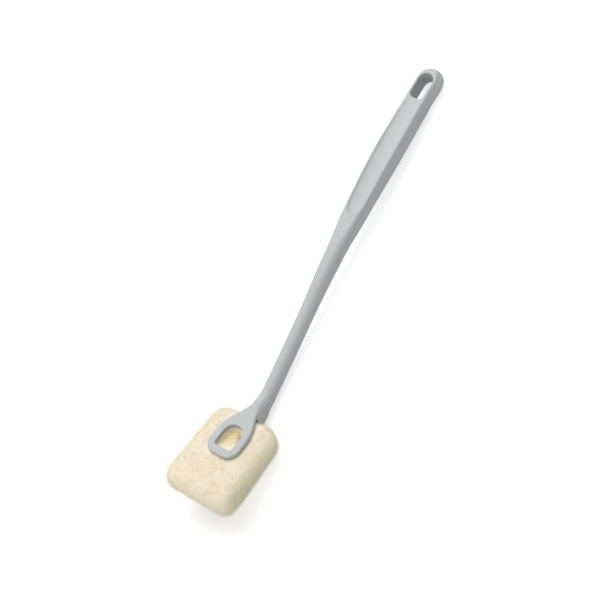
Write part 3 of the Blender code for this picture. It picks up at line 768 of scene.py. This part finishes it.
def strand_rows(draw, face, points):
    """The points of one strand, ring by ring from its root in a face to its tip."""
    centre = Vector(face.center)
    corner = Vector(points[face.vertices[draw.randrange(len(face.vertices))]])
    root = centre + (corner - centre) * draw.random()
    normal = Vector(face.normal)
    ahead = Vector((draw.gauss(0, 1), draw.gauss(0, 1), draw.gauss(0, 1)))
    ahead = (ahead - normal * ahead.dot(normal)).normalized()
    sideways = normal.cross(ahead)
    length = STRAND_LENGTH * draw.uniform(*STRAND_LENGTH_SHARES)
    rise = STRAND_RISE * draw.uniform(*STRAND_RISE_SHARES)
    curl = draw.uniform(-STRAND_CURL_SHARE, STRAND_CURL_SHARE)
    rows = []
    for step in range(STRAND_STEPS + 1):
        share = step / STRAND_STEPS
        lift = rise * math.sin(math.pi * share) * (STRAND_LIFT_SHARE - STRAND_DROOP_SHARE * share)
        middle = root + ahead * length * share + sideways * length * curl * share**2
        middle += normal * (lift - STRAND_RADIUS)
        radius = STRAND_RADIUS * (1.0 - STRAND_TAPER_SHARE * share)
        for k in range(STRAND_SIDES):
            turn = 2 * math.pi * k / STRAND_SIDES
            row = middle + (sideways * math.cos(turn) + normal * math.sin(turn)) * radius
            row.z = max(row.z, LEAST_HEIGHT)
            rows.append(row)
    return rows


def strand_faces(first):
    """The faces of one closed strand whose points start at a number."""
    faces = []
    for step in range(STRAND_STEPS):
        for k in range(STRAND_SIDES):
            a = first + step * STRAND_SIDES + k
            b = first + step * STRAND_SIDES + (k + 1) % STRAND_SIDES
            faces.append((b, a, a + STRAND_SIDES, b + STRAND_SIDES))
    last = first + STRAND_STEPS * STRAND_SIDES
    faces.append(tuple(range(first, first + STRAND_SIDES)))
    faces.append(tuple(range(last + STRAND_SIDES - 1, last - 1, -1)))
    return faces


def loose_fibres(name, panel, count, seed, material):
    """Short curled strands rooted in a panel's outer face."""
    draw = random.Random(seed)
    points = points_of(panel.data)
    faces, totals = open_faces(panel.data)
    rows = []
    strands = []
    for face in draw.choices(faces, cum_weights=totals, k=count):
        strands += strand_faces(len(rows))
        rows += strand_rows(draw, face, points)
    mesh = bpy.data.meshes.new(name)
    mesh.from_pydata(rows, [], strands)
    mesh.update()
    piece = put_in_scene(name, mesh)
    finish_with(piece, material)
    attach(piece, "pad")


loose_fibres("belt_fibres", belt, STRAND_COUNT, BELT_SEED, front_felt)
loose_fibres("side_fibres_left", side_left, SIDE_STRAND_COUNT, LEFT_SEED, side_painted_light_felt)
loose_fibres("side_fibres_right", side_right, SIDE_STRAND_COUNT, RIGHT_SEED, side_painted_light_felt)
bpy.data.objects.remove(form)

# Core: the pad's filling, a block of soft open foam with the tongue's pocket moulded in. Only its mouth
# shows, when the pad is pulled off.
FOAM_TONE = (0.86, 0.82, 0.72, 1.0)
FOAM_TONE_DEEP = (0.70, 0.64, 0.52, 1.0)
FOAM_ROUGHNESS = 0.9
FOAM_CELL = 0.0008
FOAM_CELL_STRENGTH_SHARE = 0.8
FOAM_CELL_DEPTH = FOAM_CELL / 3
FOAM_CLOUD_SIZE = FOAM_CELL * 2
FOAM_SKIN = 0.0009
FOAM_EASING_ROUNDS = 4


def open_foam():
    made, tree, surface = new_material("open_foam")
    look = placed(tree, speckle, {
        "Tone": FOAM_TONE,
        "Deep Tone": FOAM_TONE_DEEP,
        "Grain Size": FOAM_CELL,
        "Cloud Size": FOAM_CLOUD_SIZE,
    })
    feed(tree, surface["Base Color"], look["Color"])
    feed(tree, surface["Roughness"], FOAM_ROUGHNESS)
    feed(tree, surface["Normal"], relief(tree, look["Grain"], FOAM_CELL_STRENGTH_SHARE, FOAM_CELL_DEPTH))
    return made


# The foam is a piece of its own, so the copy of its solid gives up that node's notes and parent.
core = frame["nodes"]["pad_core"].copy()
core.data = core.data.copy()
core.name = "foam_core"
for key in list(core.keys()):
    del core[key]
core.parent = None
bpy.context.scene.collection.objects.link(core)
eased_skin(core, FOAM_SKIN, FOAM_EASING_ROUNDS)
apply_modifiers(core)
finish_with(core, open_foam())
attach(core, "pad")
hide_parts("pad_core")

# Room: a white floor that runs out to a white world. The camera sees them a little brighter than they are
# lit, the floor more so away from the pad's nose, so that only the deeper part of the shadow is left there.
WHITE = (1.0, 1.0, 1.0, 1.0)
FLOOR_SIZE = 12.0
FLOOR_TONE = (0.80, 0.80, 0.80, 1.0)
NEAR_LIFT = 0.31
MIDDLE_LIFT = 0.58
FAR_LIFT = 0.80
NEAR_LIFT_PLACE = (-0.026, -0.205, 0.0)
NEAR_LIFT_REACH = (0.015, 0.080)
FAR_LIFT_REACH = (0.7, 2.2)
WORLD_STRENGTH = 0.35


def seen_rays(tree):
    """1 for a ray that the picture shows, straight from the camera or by way of a gloss, and 0 for light."""
    rays = node(tree, "ShaderNodeLightPath").outputs
    seen = rays["Is Camera Ray"]
    for kind in ("Is Glossy Ray", "Is Transmission Ray"):
        seen = maths(tree, "MAXIMUM", seen, rays[kind])
    return seen


def rising_with(tree, distance, reach, rise):
    """0 up to a reach's start and the full rise past its end, smooth between."""
    made = node(tree, "ShaderNodeMapRange", interpolation_type="SMOOTHSTEP")
    made.inputs["From Min"].default_value, made.inputs["From Max"].default_value = reach
    made.inputs["To Max"].default_value = rise
    feed(tree, made.inputs["Value"], distance)
    return made.outputs["Result"]


def white_floor():
    made = bpy.data.materials.new("white_floor")
    made.use_nodes = True
    tree = made.node_tree
    tree.nodes.clear()
    paint = node(tree, "ShaderNodeBsdfDiffuse")
    paint.inputs["Color"].default_value = FLOOR_TONE
    lift = node(tree, "ShaderNodeEmission")
    lift.inputs["Color"].default_value = WHITE
    apart = node(tree, "ShaderNodeVectorMath", operation="DISTANCE")
    feed(tree, apart.inputs[0], node(tree, "ShaderNodeTexCoord").outputs["Object"])
    feed(tree, apart.inputs[1], NEAR_LIFT_PLACE)
    distance = apart.outputs["Value"]
    near_rise = rising_with(tree, distance, NEAR_LIFT_REACH, MIDDLE_LIFT - NEAR_LIFT)
    far_rise = rising_with(tree, distance, FAR_LIFT_REACH, FAR_LIFT - MIDDLE_LIFT)
    level = maths(tree, "ADD", maths(tree, "ADD", near_rise, far_rise), NEAR_LIFT)
    feed(tree, lift.inputs["Strength"], maths(tree, "MULTIPLY", seen_rays(tree), level))
    both = node(tree, "ShaderNodeAddShader")
    feed(tree, both.inputs[0], paint.outputs["BSDF"])
    feed(tree, both.inputs[1], lift.outputs["Emission"])
    feed(tree, node(tree, "ShaderNodeOutputMaterial").inputs["Surface"], both.outputs["Shader"])
    return made


bpy.ops.mesh.primitive_plane_add(size=FLOOR_SIZE)
floor = bpy.context.object
floor.name = "floor"
finish_with(floor, white_floor())

world = bpy.data.worlds.new("studio")
bpy.context.scene.world = world
world.use_nodes = True
air = world.node_tree
background = air.nodes["Background"].inputs
background["Color"].default_value = WHITE
seen_white = maths(air, "MULTIPLY", seen_rays(air), 1.0 - WORLD_STRENGTH)
feed(air, background["Strength"], maths(air, "ADD", seen_white, WORLD_STRENGTH))

# Light: one large soft lamp high on the left, which leaves the right sides in shade, and a weak one low
# beyond the nose, which opens up the shade there.
KEY_PLACE = Vector((-0.72, 0.70, 1.40))
KEY_SIZE = 1.8
KEY_POWER = 29.0
FILL_PLACE = Vector((0.15, -1.35, 0.45))
FILL_SIZE = 1.2
FILL_POWER = 6.0


def soft_lamp(name, place, size, power):
    """A square lamp that shines on the middle of the brush."""
    lamp = bpy.data.lights.new(name, "AREA")
    lamp.shape = "SQUARE"
    lamp.size = size
    lamp.energy = power
    made = put_in_scene(name, lamp)
    made.location = place
    made.rotation_euler = (-place).to_track_quat("-Z", "Y").to_euler()


soft_lamp("key", KEY_PLACE, KEY_SIZE, KEY_POWER)
soft_lamp("fill", FILL_PLACE, FILL_SIZE, FILL_POWER)

# Camera: the photograph looks down on the brush from its right side and from well away, with the grip up to
# the right of the frame.
CAMERA_PLACE = Vector((0.7193, -0.0682, 1.2944))
CAMERA_AIM = Vector((-0.0191, -0.0181, 0.0))
CAMERA_ROLL = math.radians(-59.27)
CAMERA_LENS = 109.66
CAMERA_NEAREST = 0.05

lens = bpy.data.cameras.new("camera")
lens.lens = CAMERA_LENS
lens.clip_start = CAMERA_NEAREST
camera = put_in_scene("camera", lens)
look_along = (CAMERA_AIM - CAMERA_PLACE).to_track_quat("-Z", "Y").to_matrix()
camera.location = CAMERA_PLACE
camera.rotation_euler = (look_along @ Matrix.Rotation(CAMERA_ROLL, 3, "Z")).to_euler()
bpy.context.scene.camera = camera
bpy.context.scene.view_settings.view_transform = "Standard"
